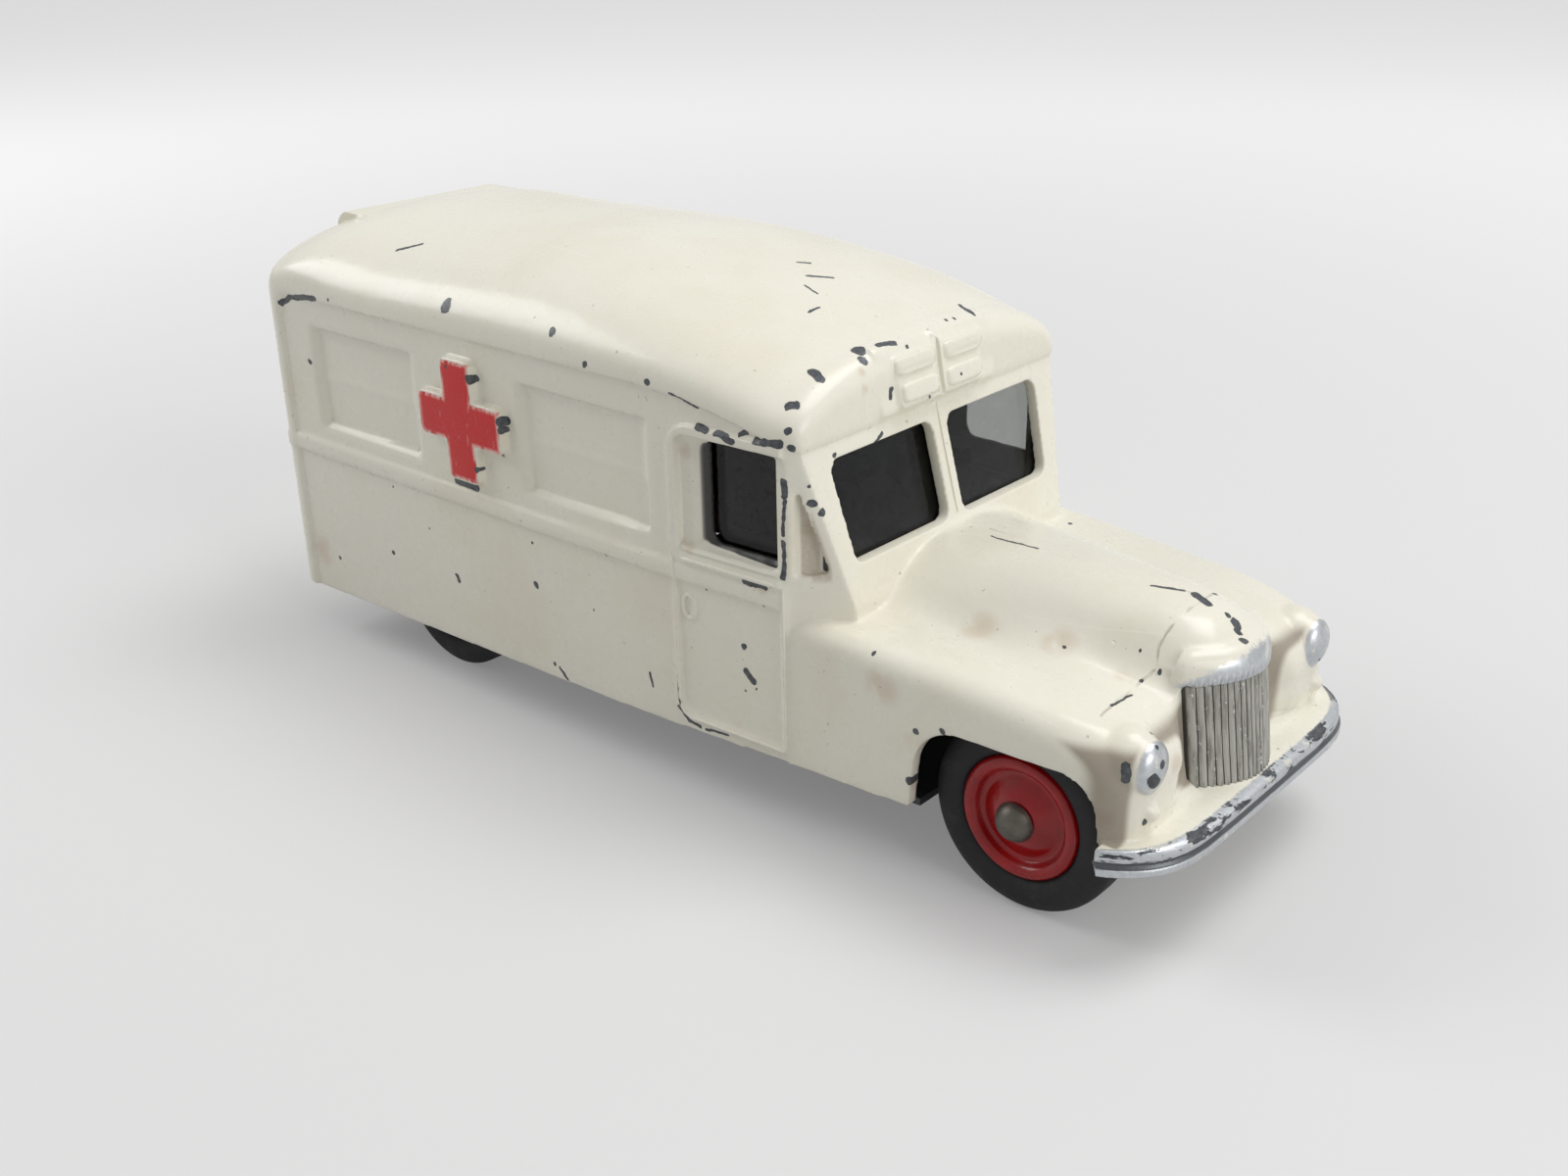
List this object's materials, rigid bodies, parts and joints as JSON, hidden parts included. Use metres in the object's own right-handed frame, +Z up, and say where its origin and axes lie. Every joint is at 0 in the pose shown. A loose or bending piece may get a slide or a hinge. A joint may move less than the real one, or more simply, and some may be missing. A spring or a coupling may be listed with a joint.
{
  "type": "toy ambulance",
  "caption": "Free-rolling die-cast toy ambulance with an arched van body, bulbous bonnet and wings, clear glazing, tin base and red-hubbed rubber-tyred wheels.",
  "frame": {"origin": "on the ground, midway between the rear doors and the bumper, on the middle plane", "axes": "+X towards the bonnet, +Y to the vehicle's left, +Z up"},
  "size_m": [0.096, 0.0368, 0.0414],
  "materials": {
    "body_paint": "gloss",
    "base_tin": "satin",
    "glazing": "clear",
    "axle_steel": "satin",
    "hub_paint": "gloss",
    "tyre_rubber": "matte"
  },
  "bodies": {
    "chassis": {"body_casting": "body_paint", "base_plate": "base_tin", "glazing": "glazing"},
    "front_axle": {"front_axle": "axle_steel"},
    "rear_axle": {"rear_axle": "axle_steel"},
    "front_left_wheel": {"front_left_hub": "hub_paint", "front_left_tyre": "tyre_rubber"},
    "front_right_wheel": {"front_right_hub": "hub_paint", "front_right_tyre": "tyre_rubber"},
    "rear_left_wheel": {"rear_left_hub": "hub_paint", "rear_left_tyre": "tyre_rubber"},
    "rear_right_wheel": {"rear_right_hub": "hub_paint", "rear_right_tyre": "tyre_rubber"}
  },
  "joints": [
    {"name": "front_axle_spin", "type": "hinge", "parent": "chassis", "child": "front_axle", "pos_m": [0.0355, 0, 0.00755], "axis": [0, 1, 0], "continuous": true},
    {"name": "rear_axle_spin", "type": "hinge", "parent": "chassis", "child": "rear_axle", "pos_m": [-0.0281, 0, 0.00755], "axis": [0, 1, 0], "continuous": true},
    {"name": "front_left_wheel_spin", "type": "hinge", "parent": "front_axle", "child": "front_left_wheel", "pos_m": [0.0355, 0.01225, 0.00755], "axis": [0, 1, 0], "continuous": true},
    {"name": "front_right_wheel_spin", "type": "hinge", "parent": "front_axle", "child": "front_right_wheel", "pos_m": [0.0355, -0.01225, 0.00755], "axis": [0, 1, 0], "continuous": true},
    {"name": "rear_left_wheel_spin", "type": "hinge", "parent": "rear_axle", "child": "rear_left_wheel", "pos_m": [-0.0281, 0.0126, 0.00755], "axis": [0, 1, 0], "continuous": true},
    {"name": "rear_right_wheel_spin", "type": "hinge", "parent": "rear_axle", "child": "rear_right_wheel", "pos_m": [-0.0281, -0.0126, 0.00755], "axis": [0, 1, 0], "continuous": true}
  ]
}
